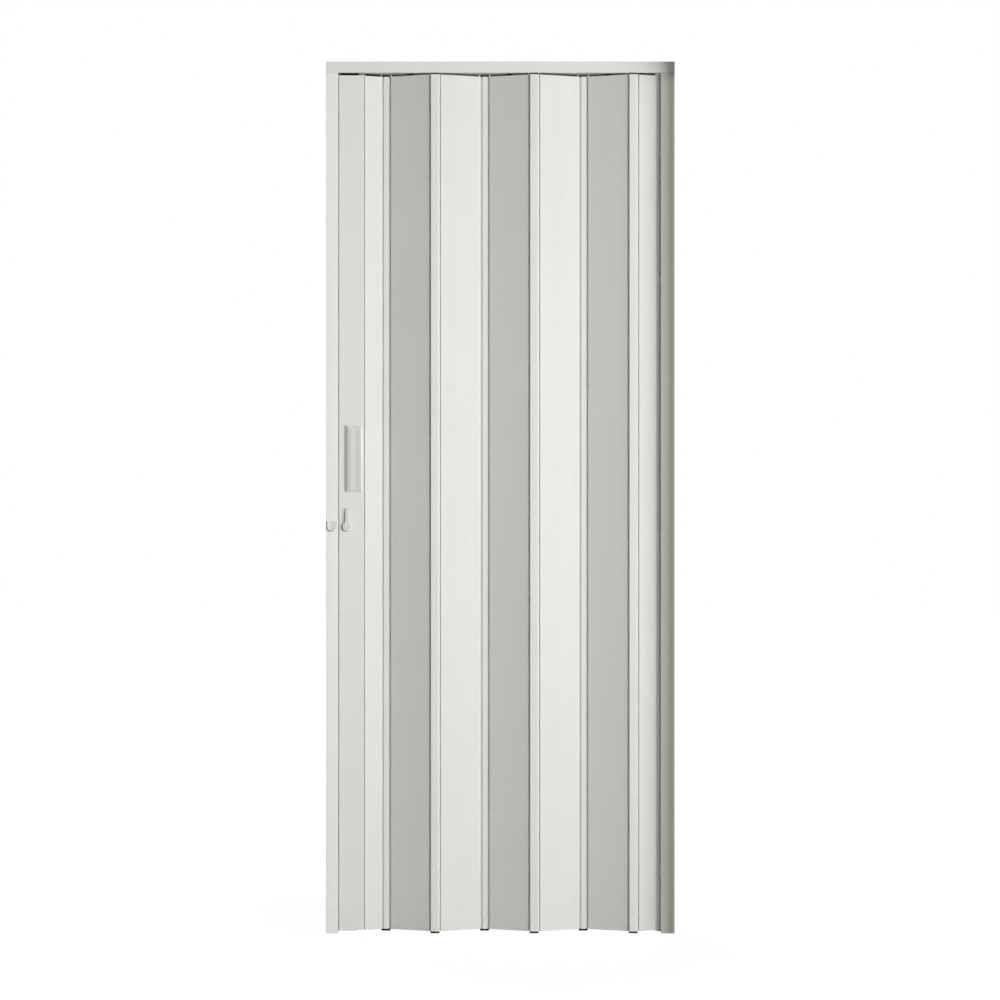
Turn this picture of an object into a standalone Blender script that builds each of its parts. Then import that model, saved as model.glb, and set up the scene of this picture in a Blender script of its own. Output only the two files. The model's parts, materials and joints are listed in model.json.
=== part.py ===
# Folding accordion door: seven hollow panels joined by hinge posts, hung in a top track.
# Metres, +Z up. The origin is on the floor at the middle of the width, under the track's centre line.
# The viewer stands on the -Y side and looks along +Y.
import math

import bmesh
import bpy
from mathutils import Matrix, Vector

for old in list(bpy.data.objects):
    bpy.data.objects.remove(old, do_unlink=True)

# Overall sizes
door_width = 0.820
door_height = 2.050
rest_fold = math.radians(15.0)
full_panel_count = 5

# Running and seating clearances
seat_gap = 0.0003
cut_overrun = 0.002
storey_margin = 0.004

# Top track
track_height = 0.0265
track_depth = 0.034
track_wall = 0.0016
track_slot_width = 0.010
track_rail_height = 0.0030
track_rail_thickness = 0.0012
track_edge = 0.0008

# Side jambs
strike_width = 0.029
wall_jamb_width = 0.0325
jamb_depth = 0.034
jamb_wall = 0.0018
jamb_edge = 0.0006

# Fixing holes in the track and the jambs
fixing_hole_radius = 0.0025
jamb_hole_height_shares = (0.08, 0.36, 0.64, 0.92)
track_hole_place_shares = (-0.42, -0.14, 0.14, 0.42)

# Handle's section from its low right corner on, in shares of its width and of its rise
handle_section_shares = ((1.0, 0.0), (1.0, 1.0), (0.875, 0.95), (0.75, 0.86), (0.66, 0.80), (0.50, 0.76),
                         (0.375, 0.69), (0.25, 0.57), (0.125, 0.38), (0.0, 0.04), (0.0, 0.0))

# Hinge posts, in the plane square to their length
hinge_spacing = 0.012
bead_radius = 0.0035
bead_clearance = 0.0003
socket_wall = 0.0012
mouth_low = math.radians(-8.0)
mouth_high = math.radians(103.0)
cover_width = 0.0192
cover_front = 0.0074
cover_back = 0.0044
cover_edge = 0.0011
post_bottom = 0.0055
post_top_drop = 0.0040

# Caps on the hinge posts' ends
cap_top_thickness = 0.0030
cap_bottom_thickness = 0.0040
cap_margin = 0.0002
peg_radius = 0.0009
peg_hole_radius = 0.0012
peg_length = 0.008
peg_offset = 0.0022

# Panels
panel_thickness = 0.010
panel_wall = 0.0010
panel_shoulder = 0.0068
lead_end_shoulder = 0.0095
panel_corner = 0.0006
neck_thickness = 0.0024
panel_bottom = 0.0055
panel_top_drop = 0.0043
chamber_count = 5
half_chamber_count = 2

# Lead post
lead_width = 0.0580
lead_depth = 0.031
lead_gap = 0.0015
lead_wall = 0.0016
lead_lip_reach = 0.0071
lead_box_back = 0.0066
lead_lip_turn = 0.0014
lead_web_half = 0.0030
lead_nose_reach = 0.012
lead_nose_depth = 0.018
lead_edge = 0.0009
lead_bottom = 0.0080
lead_top_drop = 0.0060

# Caps of the lead post
lead_cap_thickness = 0.0018
lead_plug_length = 0.012
lead_hanger_width = 0.0405
lead_hanger_shift = 0.0035
lead_hanger_depth = 0.024
lead_hanger_thickness = 0.0046
lead_hanger_plug_length = 0.018
lead_runner_offset = 0.0120

# End profile, fixed in the wall jamb
end_pivot_reach = 0.0067
end_web_half = 0.0025
end_box_front = 0.0080
end_box_wall = 0.0016
end_profile_bottom = 0.0020
end_profile_top_drop = 0.0020

# Runners
runner_head_radius = 0.010
runner_head_height = 0.0068
runner_head_round = 0.0016
runner_stem_radius = 0.0032
runner_bore_clearance = 0.0003
runner_stem_depth = 0.014
runner_tip_round = 0.0008
insert_length = 0.018
insert_thickness = 0.0094
insert_flange = 0.0032
insert_plug_length = 0.018

# Top plugs of the half panels
plug_plate_thickness = 0.0030
plug_margin = 0.0004
plug_peg_length = 0.012

# Pile seals on the full panels' tops
seal_base_half = 0.0042
seal_base_height = 0.0010
seal_pile_half = 0.0017
seal_end_margin = 0.0010

# Handles
handle_height = 0.1576
handle_above_latch = 0.0377
handle_front_width = 0.0380
handle_back_width = 0.032
handle_front_inset = 0.0002
handle_back_inset = 0.0012
handle_rise = 0.0075
handle_end_slope = 0.0030
screw_spacing = 0.118
screw_radius = 0.0016
screw_hole_radius = 0.0019
screw_head_radius = 0.0031
screw_head_hole_radius = 0.0034
screw_head_height = 0.0020
screw_head_seat = 0.0022
screw_thread_depth = 0.0034
screw_slot_width = 0.0010
screw_slot_depth = 0.0008

# Swing-down latch
latch_boss_radius = 0.0115
latch_boss_edge = 0.0008
latch_inset = 0.0317
latch_height = 0.9565
latch_reach = 0.0435
latch_arm_width = 0.0092
latch_arm_back = 0.0016
latch_front = 0.0056
latch_pin_radius = 0.0030
latch_pin_clearance = 0.0003
latch_pin_depth = 0.0036
retainer_radius = 0.0060
retainer_thickness = 0.0012

# Keeper on the strike jamb
keeper_outer_radius = 0.0122
keeper_wall = 0.0024
keeper_rise = 0.0130
keeper_plate = 0.0010
keeper_front = 0.0040
keeper_inset = 0.0135
keeper_mouth = math.radians(325.0)
keeper_peg_radius = 0.0025
keeper_peg_clearance = 0.0002
keeper_peg_length = 0.0020

# Facets
socket_steps = 16
bead_steps = 12
edge_steps = 3
round_steps = 24
small_round_steps = 16

# Places that follow from the sizes
track_bottom = door_height - track_height
socket_radius = bead_radius + bead_clearance
ring_radius = socket_radius + socket_wall
strike_left = -door_width / 2
strike_right = strike_left + strike_width
wall_right = door_width / 2
wall_left = wall_right - wall_jamb_width
jamb_top = track_bottom - seat_gap
end_pivot_x = wall_left - end_pivot_reach
lead_pivot_x = strike_right + lead_gap + lead_width - lead_lip_reach
hinge_count = full_panel_count + 1
panel_count = full_panel_count + 2
fold_run = end_pivot_x - lead_pivot_x - hinge_count * hinge_spacing
panel_span = fold_run / ((full_panel_count + 1) * math.cos(rest_fold))
panel_top = track_bottom - panel_top_drop
post_top = track_bottom - post_top_drop
lead_top = track_bottom - lead_top_drop
rail_top = track_bottom + track_rail_height
latch_x = lead_pivot_x - latch_inset
handle_centre_height = latch_height + latch_reach + handle_above_latch + handle_height / 2
keeper_x = strike_left + keeper_inset
jamb_front = -jamb_depth / 2


def make_material(name, colour, roughness, metallic=0.0):
    material = bpy.data.materials.new(name)
    material.use_nodes = True
    shader = material.node_tree.nodes["Principled BSDF"]
    shader.inputs["Base Color"].default_value = (*colour, 1.0)
    shader.inputs["Roughness"].default_value = roughness
    shader.inputs["Metallic"].default_value = metallic
    material.diffuse_color = (*colour, 1.0)
    return material


white_plastic = make_material("white_plastic", (0.80, 0.80, 0.77), 0.45)
white_trim = make_material("white_trim", (0.83, 0.83, 0.80), 0.38)
black_plastic = make_material("black_plastic", (0.02, 0.02, 0.02), 0.5)
grey_pile = make_material("grey_pile", (0.12, 0.12, 0.11), 0.9)
zinc_steel = make_material("zinc_steel", (0.62, 0.63, 0.64), 0.35, 1.0)


# Outlines are lists of (u, v) points, counterclockwise

def arc(centre_u, centre_v, radius, start, end, steps):
    points = []
    for step in range(steps + 1):
        angle = start + (end - start) * step / steps
        points.append((centre_u + radius * math.cos(angle), centre_v + radius * math.sin(angle)))
    return points


def rectangle(low_u, high_u, low_v, high_v):
    return [(low_u, low_v), (high_u, low_v), (high_u, high_v), (low_u, high_v)]


def circle(centre_u, centre_v, radius, steps):
    # Starts half a facet round, so that no corner stands on an axis
    start = math.pi / steps
    return arc(centre_u, centre_v, radius, start, start + 2 * math.pi * (steps - 1) / steps, steps - 1)


def mirrored(points):
    return [(-u, v) for u, v in reversed(points)]


def hinge_outline(with_mouths, shrink=0.0):
    # Convex cover towards -v, socket mouths towards +v
    pivot_u = hinge_spacing / 2
    outer = ring_radius - shrink
    half_cover = cover_width / 2 - shrink
    front = cover_front - shrink
    back = cover_back - shrink
    meet = math.asin(-back / outer)
    right = arc(half_cover - cover_edge, cover_edge - front, cover_edge, -math.pi / 2, 0.0, edge_steps)
    right.append((half_cover, -back))
    if with_mouths:
        right += arc(pivot_u, 0.0, outer, meet, mouth_low, edge_steps)
        right += arc(pivot_u, 0.0, socket_radius, mouth_low, mouth_high - 2 * math.pi, socket_steps)
        right.append((pivot_u + outer * math.cos(mouth_high), outer * math.sin(mouth_high)))
    else:
        right += arc(pivot_u, 0.0, outer, meet, mouth_high, bead_steps)
    return right + mirrored(right)


def panel_outline(span, far_shoulder):
    half = panel_thickness / 2
    neck = neck_thickness / 2
    turn = math.asin(neck / bead_radius)
    near = panel_shoulder
    far = span - far_shoulder
    points = [(near + panel_corner, -half), (far - panel_corner, -half), (far, panel_corner - half)]
    points.append((far, -neck))
    points += arc(span, 0.0, bead_radius, math.pi + turn, 3 * math.pi - turn, bead_steps)
    points += [(far, neck), (far, half - panel_corner), (far - panel_corner, half)]
    points += [(near + panel_corner, half), (near, half - panel_corner), (near, neck)]
    points += arc(0.0, 0.0, bead_radius, turn, 2 * math.pi - turn, bead_steps)
    points += [(near, -neck), (near, panel_corner - half)]
    return points


def chamber_edges(span, far_shoulder, count):
    # Inner edges of each hollow chamber along the panel
    low = panel_shoulder + panel_wall
    high = span - far_shoulder - panel_wall
    width = (high - low - (count - 1) * panel_wall) / count
    return [(low + index * (width + panel_wall), low + index * (width + panel_wall) + width)
            for index in range(count)]


def panel_chambers(span, far_shoulder, count):
    inner = panel_thickness / 2 - panel_wall
    return [rectangle(low, high, -inner, inner) for low, high in chamber_edges(span, far_shoulder, count)]


def lead_outline():
    # Origin on the first panel's pivot; the front lip covers the joint, the rear is cut back
    half = lead_depth / 2
    left = lead_lip_reach - lead_width
    right = lead_lip_reach
    box = -lead_box_back
    nose = left - lead_nose_reach
    nose_half = lead_nose_depth / 2
    web_turn = math.asin(lead_web_half / ring_radius)
    points = [(nose, lead_edge - nose_half), (nose + lead_edge, -nose_half), (left, -nose_half)]
    points += arc(left + lead_edge, lead_edge - half, lead_edge, math.pi, 1.5 * math.pi, edge_steps)
    points += arc(right - lead_edge, lead_edge - half, lead_edge, -math.pi / 2, 0.0, edge_steps)
    lip_end = lead_wall + lead_lip_turn - half
    points += [(right, lip_end), (right - lead_wall, lip_end), (right - lead_wall, lead_wall - half)]
    points += [(box, lead_wall - half), (box, -lead_web_half)]
    points += arc(0.0, 0.0, ring_radius, web_turn - math.pi, mouth_low, 2 * edge_steps)
    points += arc(0.0, 0.0, socket_radius, mouth_low, mouth_high - 2 * math.pi, socket_steps)
    points += arc(0.0, 0.0, ring_radius, mouth_high, math.pi - web_turn, edge_steps)
    points += [(box, lead_web_half)]
    points += arc(box - lead_edge, half - lead_edge, lead_edge, 0.0, math.pi / 2, edge_steps)
    points += arc(left + lead_edge, half - lead_edge, lead_edge, math.pi / 2, math.pi, edge_steps)
    points += [(left, nose_half), (nose + lead_edge, nose_half), (nose, nose_half - lead_edge)]
    return points


def lead_hollow():
    inner = lead_depth / 2 - lead_wall
    left = lead_lip_reach - lead_width + lead_wall
    right = -lead_box_back - lead_wall
    nose = lead_lip_reach - lead_width - lead_nose_reach + lead_wall
    nose_inner = lead_nose_depth / 2 - lead_wall
    return [(nose, -nose_inner), (left, -nose_inner), (left, -inner), (right, -inner),
            (right, inner), (left, inner), (left, nose_inner), (nose, nose_inner)]


def end_outline():
    # Origin on the last panel's pivot; the box at +u fills the wall jamb
    half = jamb_depth / 2 - jamb_wall - seat_gap
    back = end_pivot_reach + wall_jamb_width - jamb_wall - seat_gap
    turn = math.asin(end_web_half / ring_radius)
    mouth_start = math.pi + mouth_low
    mouth_end = math.pi + mouth_high
    points = arc(0.0, 0.0, ring_radius, mouth_end - 2 * math.pi, -turn, edge_steps)
    points += [(end_box_front, -end_web_half), (end_box_front, -half), (back, -half)]
    points += [(back, half), (end_box_front, half), (end_box_front, end_web_half)]
    points += arc(0.0, 0.0, ring_radius, turn, mouth_start, 2 * edge_steps)
    points += arc(0.0, 0.0, socket_radius, mouth_start, mouth_end - 2 * math.pi, socket_steps)
    return points


def end_hollow():
    half = jamb_depth / 2 - jamb_wall - seat_gap - end_box_wall
    back = end_pivot_reach + wall_jamb_width - jamb_wall - seat_gap - end_box_wall
    return rectangle(end_box_front + end_box_wall, back, -half, half)


def jamb_outline(width):
    # Channel with its web at u = 0, open towards +u
    half = jamb_depth / 2
    inner = half - jamb_wall
    points = arc(jamb_edge, jamb_edge - half, jamb_edge, math.pi, 1.5 * math.pi, edge_steps)
    points += arc(width - jamb_edge, jamb_edge - half, jamb_edge, -math.pi / 2, 0.0, edge_steps)
    points += [(width, -inner), (jamb_wall, -inner), (jamb_wall, inner), (width, inner)]
    points += arc(width - jamb_edge, half - jamb_edge, jamb_edge, 0.0, math.pi / 2, edge_steps)
    points += arc(jamb_edge, half - jamb_edge, jamb_edge, math.pi / 2, math.pi, edge_steps)
    return points


def track_outline():
    # Section in (y, z): a channel with a slot between two upturned rails below
    half = track_depth / 2
    slot = track_slot_width / 2
    rail = slot + track_rail_thickness
    inner = half - track_wall
    floor_top = track_bottom + track_wall
    roof = door_height - track_wall
    right = [(slot, rail_top), (slot, track_bottom)]
    right += arc(half - track_edge, track_bottom + track_edge, track_edge, -math.pi / 2, 0.0, edge_steps)
    right += arc(half - track_edge, door_height - track_edge, track_edge, 0.0, math.pi / 2, edge_steps)
    left = mirrored(right)
    inside = [(-rail, rail_top), (-rail, floor_top), (-inner, floor_top), (-inner, roof)]
    inside += [(inner, roof), (inner, floor_top), (rail, floor_top), (rail, rail_top)]
    return right + left + inside


# Solids

def finish_mesh(name, bm):
    bmesh.ops.recalc_face_normals(bm, faces=bm.faces)
    mesh = bpy.data.meshes.new(name)
    bm.to_mesh(mesh)
    bm.free()
    return mesh


def place(name, mesh, material, parent=None):
    piece = bpy.data.objects.new(name, mesh)
    bpy.context.scene.collection.objects.link(piece)
    if material is not None:
        mesh.materials.append(material)
    piece.parent = parent
    return piece


def axis_empty(name, x, y, z=0.0, turn=0.0):
    empty = bpy.data.objects.new(name, None)
    empty.location = (x, y, z)
    empty.rotation_euler = (0.0, 0.0, turn)
    bpy.context.scene.collection.objects.link(empty)
    return empty


def extrusion_mesh(name, loops, low, high, turn=None, storeys=()):
    # Outline first, then any hollows; pulled up from low to high, cut into storeys, then turned
    bm = bmesh.new()
    edges = []
    for loop in loops:
        corners = [bm.verts.new((u, v, low)) for u, v in loop]
        edges += [bm.edges.new((corners[i - 1], corners[i])) for i in range(len(corners))]
    bmesh.ops.triangle_fill(bm, use_beauty=True, use_dissolve=False, edges=edges)
    raised = bmesh.ops.extrude_face_region(bm, geom=bm.faces[:])
    tops = [item for item in raised["geom"] if isinstance(item, bmesh.types.BMVert)]
    bmesh.ops.translate(bm, vec=(0.0, 0.0, high - low), verts=tops)
    for level in storeys:
        everything = bm.verts[:] + bm.edges[:] + bm.faces[:]
        bmesh.ops.bisect_plane(bm, geom=everything, plane_co=(0.0, 0.0, level), plane_no=(0.0, 0.0, 1.0))
    if turn is not None:
        bmesh.ops.transform(bm, matrix=turn, verts=bm.verts)
    return finish_mesh(name, bm)


def turned_mesh(name, profile, steps, turn=None):
    # Profile of (radius, height) points, from the top centre down to the bottom centre
    bm = bmesh.new()
    corners = [bm.verts.new((radius, 0.0, height)) for radius, height in profile]
    edges = [bm.edges.new((corners[i], corners[i + 1])) for i in range(len(corners) - 1)]
    bmesh.ops.spin(bm, geom=corners + edges, axis=(0.0, 0.0, 1.0), cent=(0.0, 0.0, 0.0),
                   angle=2 * math.pi, steps=steps, use_merge=True)
    bmesh.ops.remove_doubles(bm, verts=bm.verts, dist=seat_gap / 10)
    if turn is not None:
        bmesh.ops.transform(bm, matrix=turn, verts=bm.verts)
    return finish_mesh(name, bm)


def cutter(name, mesh, parent=None):
    tool = place(name, mesh, None, parent)
    tool.hide_render = True
    tool.display_type = "WIRE"
    return tool


def combine(target, tool, operation):
    modifier = target.modifiers.new(tool.name, "BOOLEAN")
    modifier.operation = operation
    modifier.solver = "EXACT"
    modifier.object = tool


def cylinder_mesh(name, radius, low, high, steps, turn=None):
    return extrusion_mesh(name, [circle(0.0, 0.0, radius, steps)], low, high, turn)


# Turns that send a mesh's own +Z along another axis
along_x = Matrix(((0, 0, 1, 0), (1, 0, 0, 0), (0, 1, 0, 0), (0, 0, 0, 1)))
along_front = Matrix.Rotation(math.pi / 2, 4, "X")


def at(x, y, z, turn=None):
    shift = Matrix.Translation((x, y, z))
    return shift if turn is None else shift @ turn


def stepped_mesh(name, plate, plate_low, plate_high, peg, peg_end):
    # A plate of (low u, high u, low v, high v) with a smaller peg of the same form below or above it
    bm = bmesh.new()
    points = rectangle(*plate)
    upward = peg_end > plate_high
    base = plate_low if upward else plate_high
    far = plate_high if upward else plate_low
    face = bm.faces.new([bm.verts.new((u, v, base)) for u, v in points])
    raised = bmesh.ops.extrude_face_region(bm, geom=[face])
    tops = [item for item in raised["geom"] if isinstance(item, bmesh.types.BMVert)]
    bmesh.ops.translate(bm, vec=(0.0, 0.0, far - base), verts=tops)
    ledge = next(item for item in raised["geom"] if isinstance(item, bmesh.types.BMFace))
    bmesh.ops.inset_individual(bm, faces=[ledge], thickness=seat_gap)
    middle_u = (plate[0] + plate[1]) / 2
    middle_v = (plate[2] + plate[3]) / 2
    for corner in ledge.verts:
        corner.co.x = peg[0] if corner.co.x < middle_u else peg[1]
        corner.co.y = peg[2] if corner.co.y < middle_v else peg[3]
    pulled = bmesh.ops.extrude_face_region(bm, geom=[ledge])
    ends = [item for item in pulled["geom"] if isinstance(item, bmesh.types.BMVert)]
    bmesh.ops.translate(bm, vec=(0.0, 0.0, peg_end - far), verts=ends)
    bmesh.ops.delete(bm, geom=[ledge], context="FACES_ONLY")
    return finish_mesh(name, bm)


# Fixed frame: track, jambs and the profile that carries the last panel

def make_track():
    mesh = extrusion_mesh("top_track", [track_outline()], -door_width / 2, door_width / 2, along_x)
    track = place("top_track", mesh, white_trim)
    for number, share in enumerate(track_hole_place_shares, 1):
        hole = cylinder_mesh("track_hole", fixing_hole_radius, door_height - track_wall - cut_overrun,
                             door_height + cut_overrun, small_round_steps, at(share * door_width, 0.0, 0.0))
        combine(track, cutter(f"track_hole_{number}", hole), "DIFFERENCE")


def make_jambs():
    strike_mesh = extrusion_mesh("strike_jamb", [jamb_outline(strike_width)], 0.0, jamb_top)
    strike = place("strike_jamb", strike_mesh, white_trim)
    strike.location.x = strike_left
    wall_mesh = extrusion_mesh("wall_jamb", [jamb_outline(wall_jamb_width)], 0.0, jamb_top)
    wall = place("wall_jamb", wall_mesh, white_trim)
    wall.location.x = wall_right
    wall.rotation_euler.z = math.pi
    for jamb in (strike, wall):
        for number, share in enumerate(jamb_hole_height_shares, 1):
            hole = cylinder_mesh("jamb_hole", fixing_hole_radius, -cut_overrun, jamb_wall + cut_overrun,
                                 small_round_steps, at(0.0, 0.0, share * jamb_top, along_x))
            combine(jamb, cutter(f"{jamb.name}_hole_{number}", hole, jamb), "DIFFERENCE")
    peg_hole = cylinder_mesh("keeper_hole", keeper_peg_radius + keeper_peg_clearance,
                             -jamb_front - jamb_wall - cut_overrun, -jamb_front + cut_overrun,
                             small_round_steps, at(keeper_x - strike_left, 0.0, latch_height, along_front))
    combine(strike, cutter("strike_jamb_keeper_hole", peg_hole, strike), "DIFFERENCE")


def make_end_profile():
    mesh = extrusion_mesh("end_profile", [end_outline(), end_hollow()], end_profile_bottom,
                          track_bottom - end_profile_top_drop)
    place("end_profile", mesh, white_plastic).location.x = end_pivot_x


# Folding curtain: panels, hinge posts and their caps, from the wall side to the lead post

def make_panel(number, axis, span, far_shoulder, chambers):
    loops = [panel_outline(span, far_shoulder)] + panel_chambers(span, far_shoulder, chambers)
    mesh = extrusion_mesh(f"panel_{number}", loops, panel_bottom, panel_top)
    place(f"panel_{number}", mesh, white_plastic, axis)


def make_hinge_post(number, axis, centre_u, turn):
    spot = Matrix.Translation((centre_u, 0.0, 0.0)) @ Matrix.Rotation(turn, 4, "Z")
    hole = circle(0.0, -peg_offset, peg_hole_radius, small_round_steps)
    mesh = extrusion_mesh(f"hinge_post_{number}", [hinge_outline(True), hole], post_bottom, post_top, spot)
    place(f"hinge_post_{number}", mesh, white_plastic, axis)
    top_low = post_top + seat_gap
    bottom_high = post_bottom - seat_gap
    ends = (
        ("top", top_low, top_low + cap_top_thickness, top_low - peg_length, top_low + cap_margin),
        ("bottom", bottom_high - cap_bottom_thickness, bottom_high, bottom_high - cap_margin,
         bottom_high + peg_length),
    )
    for end, low, high, peg_low, peg_high in ends:
        name = f"hinge_cap_{end}_{number}"
        plate = extrusion_mesh(name, [hinge_outline(False, cap_margin)], low, high, spot)
        cap = place(name, plate, black_plastic, axis)
        peg = cylinder_mesh("hinge_peg", peg_radius, peg_low, peg_high, small_round_steps,
                            spot @ Matrix.Translation((0.0, -peg_offset, 0.0)))
        combine(cap, cutter(f"hinge_peg_{end}_{number}", peg, axis), "UNION")


def make_runner_insert(number, axis, span, chambers):
    edges = chamber_edges(span, panel_shoulder, chambers)
    low, high = edges[len(edges) // 2]
    middle = (low + high) / 2
    inner = panel_thickness / 2 - panel_wall - seat_gap
    flange = insert_length / 2
    plate_low = panel_top + seat_gap
    mesh = stepped_mesh(f"runner_insert_{number}",
                        (middle - flange, middle + flange, -insert_thickness / 2, insert_thickness / 2),
                        plate_low, plate_low + insert_flange,
                        (low + seat_gap, high - seat_gap, -inner, inner), plate_low - insert_plug_length)
    insert = place(f"runner_insert_{number}", mesh, black_plastic, axis)
    bore = cylinder_mesh("runner_bore", runner_stem_radius + runner_bore_clearance,
                         plate_low + insert_flange - runner_stem_depth - seat_gap,
                         plate_low + insert_flange + cut_overrun, round_steps, at(middle, 0.0, 0.0))
    combine(insert, cutter(f"runner_bore_{number}", bore, axis), "DIFFERENCE")
    return middle, plate_low + insert_flange


def make_runner(name, axis, centre_u, seat_height):
    head_low = rail_top + seat_gap
    head_high = head_low + runner_head_height
    foot = seat_height - runner_stem_depth
    profile = [(0.0, head_high), (runner_head_radius - runner_head_round, head_high)]
    profile += [(runner_head_radius, head_high - runner_head_round), (runner_head_radius, head_low)]
    profile += [(runner_stem_radius, head_low), (runner_stem_radius, foot + runner_tip_round)]
    profile += [(runner_stem_radius - runner_tip_round, foot), (0.0, foot)]
    place(name, turned_mesh(name, profile, round_steps, at(centre_u, 0.0, 0.0)), black_plastic, axis)


def make_panel_plug(number, axis, span, far_shoulder):
    low, high = chamber_edges(span, far_shoulder, half_chamber_count)[0]
    inner = panel_thickness / 2 - panel_wall - seat_gap
    half = panel_thickness / 2 - plug_margin
    plate_low = panel_top + seat_gap
    mesh = stepped_mesh(f"panel_plug_{number}",
                        (panel_shoulder + plug_margin, span - far_shoulder - plug_margin, -half, half),
                        plate_low, plate_low + plug_plate_thickness,
                        (low + seat_gap, high - seat_gap, -inner, inner), plate_low - plug_peg_length)
    place(f"panel_plug_{number}", mesh, black_plastic, axis)


def make_top_seal(name, axis, low, high):
    # A flat base that lies on the panel's top, and a pile that all but touches the track
    base = (low, high, -seal_base_half, seal_base_half)
    pile = (low + seat_gap, high - seat_gap, -seal_pile_half, seal_pile_half)
    base_low = panel_top + seat_gap
    mesh = stepped_mesh(name, base, base_low, base_low + seal_base_height, pile, track_bottom - seat_gap)
    place(name, mesh, grey_pile, axis)


def make_top_seals(number, axis, span, insert_middle):
    low = panel_shoulder + seal_end_margin
    high = span - panel_shoulder - seal_end_margin
    if insert_middle is None:
        make_top_seal(f"top_seal_{number}", axis, low, high)
        return
    reach = insert_length / 2 + seat_gap
    make_top_seal(f"top_seal_{number}_right", axis, low, insert_middle - reach)
    make_top_seal(f"top_seal_{number}_left", axis, insert_middle + reach, high)


def make_curtain():
    pivot = Vector((end_pivot_x, 0.0))
    for number in range(panel_count, 0, -1):
        half_width = number in (1, panel_count)
        span = panel_span / 2 if half_width else panel_span
        side = -1 if number % 2 else 1
        run = Vector((-math.cos(rest_fold), side * math.sin(rest_fold)))
        turn = math.atan2(run.y, run.x)
        axis = axis_empty(f"panel_{number}_axis", pivot.x, pivot.y, turn=turn)
        far_shoulder = lead_end_shoulder if number == 1 else panel_shoulder
        make_panel(number, axis, span, far_shoulder, half_chamber_count if half_width else chamber_count)
        middle = None
        if half_width:
            make_panel_plug(number, axis, span, far_shoulder)
        elif number % 2 == 0:
            middle, seat = make_runner_insert(number, axis, span, chamber_count)
            make_runner(f"runner_{number}", axis, middle, seat)
        if not half_width:
            make_top_seals(number, axis, span, middle)
        pivot = pivot + run * span
        if number > 1:
            post_axis = axis_empty(f"hinge_post_{number - 1}_axis", pivot.x, pivot.y)
            make_hinge_post(number - 1, post_axis, -hinge_spacing / 2, 0.0 if side < 0 else math.pi)
            pivot.x -= hinge_spacing


# Lead post with its caps, handles and latch

def make_lead_post(axis):
    storeys = []
    for height in (*screw_heights(), latch_height):
        storeys += [height - storey_margin, height + storey_margin]
    loops = [lead_outline(), lead_hollow()]
    mesh = extrusion_mesh("lead_post", loops, lead_bottom, lead_top, storeys=storeys)
    post = place("lead_post", mesh, white_plastic, axis)
    for number, height in enumerate(screw_heights(), 1):
        bore = cylinder_mesh("screw_bore", screw_hole_radius, -lead_depth / 2 - cut_overrun,
                             lead_depth / 2 + cut_overrun, small_round_steps,
                             at(screw_place(), 0.0, height, along_front))
        combine(post, cutter(f"lead_screw_bore_{number}", bore, axis), "DIFFERENCE")
    pin_bore = cylinder_mesh("latch_bore", latch_pin_radius + latch_pin_clearance,
                             lead_depth / 2 - lead_wall - cut_overrun, lead_depth / 2 + cut_overrun,
                             round_steps, at(-latch_inset, 0.0, latch_height, along_front))
    combine(post, cutter("lead_latch_bore", pin_bore, axis), "DIFFERENCE")


def lead_box():
    # The post's main hollow, less a seating gap
    left = lead_lip_reach - lead_width + lead_wall + seat_gap
    right = -lead_box_back - lead_wall - seat_gap
    half = lead_depth / 2 - lead_wall - seat_gap
    return left, right, -half, half


def make_lead_caps(axis):
    left, right, low, high = lead_box()
    base = lead_bottom - seat_gap
    rim = (left - lead_wall, right + lead_wall, low - lead_wall, high + lead_wall)
    foot = stepped_mesh("lead_post_foot", rim, base - lead_cap_thickness, base, (left, right, low, high),
                        base + lead_plug_length)
    place("lead_post_foot", foot, white_plastic, axis)
    middle = (left + right) / 2
    seat = lead_top + seat_gap
    half_width = lead_hanger_width / 2
    half_depth = lead_hanger_depth / 2
    centre = middle + lead_hanger_shift
    peg = (centre - half_width + seat_gap, right, seat_gap - half_depth, half_depth - seat_gap)
    mesh = stepped_mesh("lead_hanger", (centre - half_width, centre + half_width, -half_depth, half_depth),
                        seat, seat + lead_hanger_thickness, peg, seat - lead_hanger_plug_length)
    hanger = place("lead_hanger", mesh, black_plastic, axis)
    for number, offset in enumerate((-lead_runner_offset, lead_runner_offset), 1):
        bore = cylinder_mesh("lead_runner_bore", runner_stem_radius + runner_bore_clearance,
                             seat + lead_hanger_thickness - runner_stem_depth - seat_gap,
                             seat + lead_hanger_thickness + cut_overrun, round_steps,
                             at(middle + offset, 0.0, 0.0))
        combine(hanger, cutter(f"lead_runner_bore_{number}", bore, axis), "DIFFERENCE")
        make_runner(f"lead_runner_{number}", axis, middle + offset, seat + lead_hanger_thickness)


def screw_heights():
    return [handle_centre_height - screw_spacing / 2, handle_centre_height + screw_spacing / 2]


def screw_place():
    # Both handles share the screws, which stand at the middle of the back handle
    return -lead_box_back - handle_back_inset - handle_back_width / 2


def handle_section(width):
    # A raised grip: steep up its left side, then an easy rise with a slight dish to its high right edge
    return [(width * across, handle_rise * up) for across, up in handle_section_shares]


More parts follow.
